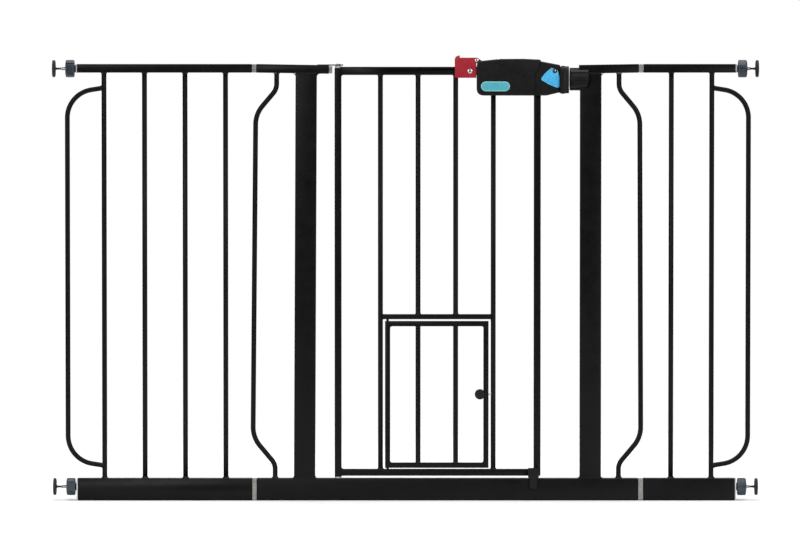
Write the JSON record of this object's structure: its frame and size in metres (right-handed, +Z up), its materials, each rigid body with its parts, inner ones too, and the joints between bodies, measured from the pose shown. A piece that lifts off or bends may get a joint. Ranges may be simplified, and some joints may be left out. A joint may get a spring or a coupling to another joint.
{
  "type": "pet gate",
  "caption": "Pressure-mounted black steel pet gate with a lever-latched walk-through door and a small barred pet door set into it.",
  "frame": {"origin": "on the floor, midway between the wall pads, in the plane of the bars", "axes": "+X across the doorway towards the latch side, +Z up, the gate's front faces -Y"},
  "size_m": [1.232, 0.049, 0.7775],
  "materials": {
    "black_powder_coat": "semi-gloss black powder coat on steel",
    "black_plastic": "satin black moulded plastic",
    "red_plastic": "satin red moulded plastic",
    "zinc": "bright zinc plated steel",
    "clear_nylon": "milky translucent nylon",
    "slate_plastic": "slate grey ribbed plastic",
    "grey_plastic": "grey moulded plastic",
    "pad_rubber": "dark rubber"
  },
  "bodies": {
    "fixed_frame": {"base_rail": "black_powder_coat", "left_upright": "black_powder_coat", "right_upright": "black_powder_coat", "left_arm": "black_powder_coat", "right_arm": "black_powder_coat", "left_bowed_bar": "black_powder_coat", "right_bowed_bar": "black_powder_coat", "left_arm_plug": "clear_nylon", "upper_hinge_pin": "zinc", "lower_hinge_pin": "grey_plastic", "latch_receiver": "black_plastic", "left_panel_top_tube": "black_powder_coat", "left_panel_rail": "black_powder_coat", "left_panel_bar_1": "black_powder_coat", "left_panel_bar_2": "black_powder_coat", "left_panel_bar_3": "black_powder_coat", "left_panel_hoop": "black_powder_coat", "left_upper_coupler": "clear_nylon", "left_upper_end_plug": "grey_plastic", "left_lower_coupler": "clear_nylon", "left_lower_end_plug": "grey_plastic", "right_panel_top_tube": "black_powder_coat", "right_panel_rail": "black_powder_coat", "right_panel_bar_1": "black_powder_coat", "right_panel_hoop": "black_powder_coat", "right_upper_coupler": "clear_nylon", "right_upper_end_plug": "grey_plastic", "right_lower_coupler": "clear_nylon", "right_lower_end_plug": "grey_plastic"},
    "door": {"door_hinge_post": "black_powder_coat", "door_latch_post": "black_powder_coat", "door_top_rail": "black_powder_coat", "door_bottom_rail": "black_powder_coat", "door_long_bar_left": "black_powder_coat", "door_long_bar_right": "black_powder_coat", "door_upper_grille": "black_powder_coat", "hinge_post_bushing": "grey_plastic", "bottom_catch": "black_plastic", "handle_bracket": "red_plastic", "bracket_rivet": "zinc", "handle_pivot_pin": "zinc"},
    "handle": {"handle_front_shell": "black_plastic", "handle_rear_shell": "black_plastic", "handle_screw": "zinc"},
    "lock_slide_body": {"thumb_slide": "black_plastic", "latch_bolt": "zinc"},
    "pet_door": {"pet_door_frame": "black_powder_coat"},
    "pet_latch_body": {"pet_latch": "black_plastic"},
    "left_upper_nut_body": {"left_upper_nut": "slate_plastic"},
    "left_upper_spindle_body": {"left_upper_spindle": "zinc", "left_upper_pad": "pad_rubber"},
    "left_lower_nut_body": {"left_lower_nut": "slate_plastic"},
    "left_lower_spindle_body": {"left_lower_spindle": "zinc", "left_lower_pad": "pad_rubber"},
    "right_upper_nut_body": {"right_upper_nut": "slate_plastic"},
    "right_upper_spindle_body": {"right_upper_spindle": "zinc", "right_upper_pad": "pad_rubber"},
    "right_lower_nut_body": {"right_lower_nut": "slate_plastic"},
    "right_lower_spindle_body": {"right_lower_spindle": "zinc", "right_lower_pad": "pad_rubber"}
  },
  "joints": [
    {"name": "door_swing", "type": "hinge", "parent": "fixed_frame", "child": "door", "pos_m": [-0.1178, 0, 0.0413], "axis": [0, 0, -1], "range_deg": [0, 100]},
    {"name": "handle_lift", "type": "hinge", "parent": "door", "child": "handle", "pos_m": [0.1239, 0, 0.7686], "axis": [0, -1, 0], "range_deg": [0, 35]},
    {"name": "lock_slide", "type": "slide", "parent": "handle", "child": "lock_slide_body", "axis": [1, 0, 0], "range_m": [0, 0.01]},
    {"name": "pet_door_swing", "type": "hinge", "parent": "door", "child": "pet_door", "pos_m": [-0.0313, 0, 0.0563], "axis": [0, 0, -1], "range_deg": [-90, 90]},
    {"name": "pet_latch_slide", "type": "slide", "parent": "pet_door", "child": "pet_latch_body", "axis": [1, 0, 0], "range_m": [0, 0.0042]},
    {"name": "left_upper_spindle_travel", "type": "slide", "parent": "fixed_frame", "child": "left_upper_spindle_body", "axis": [-1, 0, 0], "range_m": [-0.012, 0.025]},
    {"name": "left_upper_nut_turn", "type": "hinge", "parent": "fixed_frame", "child": "left_upper_nut_body", "pos_m": [-0.5774, 0, 0.754], "axis": [-1, 0, 0], "range_deg": [-2162, 4502]},
    {"name": "left_lower_spindle_travel", "type": "slide", "parent": "fixed_frame", "child": "left_lower_spindle_body", "axis": [-1, 0, 0], "range_m": [-0.012, 0.025]},
    {"name": "left_lower_nut_turn", "type": "hinge", "parent": "fixed_frame", "child": "left_lower_nut_body", "pos_m": [-0.5774, 0, 0.0233], "axis": [-1, 0, 0], "range_deg": [-2162, 4502]},
    {"name": "right_upper_spindle_travel", "type": "slide", "parent": "fixed_frame", "child": "right_upper_spindle_body", "axis": [1, 0, 0], "range_m": [-0.012, 0.025]},
    {"name": "right_upper_nut_turn", "type": "hinge", "parent": "fixed_frame", "child": "right_upper_nut_body", "pos_m": [0.5802, 0, 0.754], "axis": [1, 0, 0], "range_deg": [-2162, 4502]},
    {"name": "right_lower_spindle_travel", "type": "slide", "parent": "fixed_frame", "child": "right_lower_spindle_body", "axis": [1, 0, 0], "range_m": [-0.012, 0.025]},
    {"name": "right_lower_nut_turn", "type": "hinge", "parent": "fixed_frame", "child": "right_lower_nut_body", "pos_m": [0.5802, 0, 0.0233], "axis": [1, 0, 0], "range_deg": [-2162, 4502]}
  ],
  "couplings": [
    {"joint": "left_upper_nut_turn", "follows": "left_upper_spindle_travel", "rad_per_m": 3141.6},
    {"joint": "left_lower_nut_turn", "follows": "left_lower_spindle_travel", "rad_per_m": 3141.6},
    {"joint": "right_upper_nut_turn", "follows": "right_upper_spindle_travel", "rad_per_m": 3141.6},
    {"joint": "right_lower_nut_turn", "follows": "right_lower_spindle_travel", "rad_per_m": 3141.6}
  ]
}
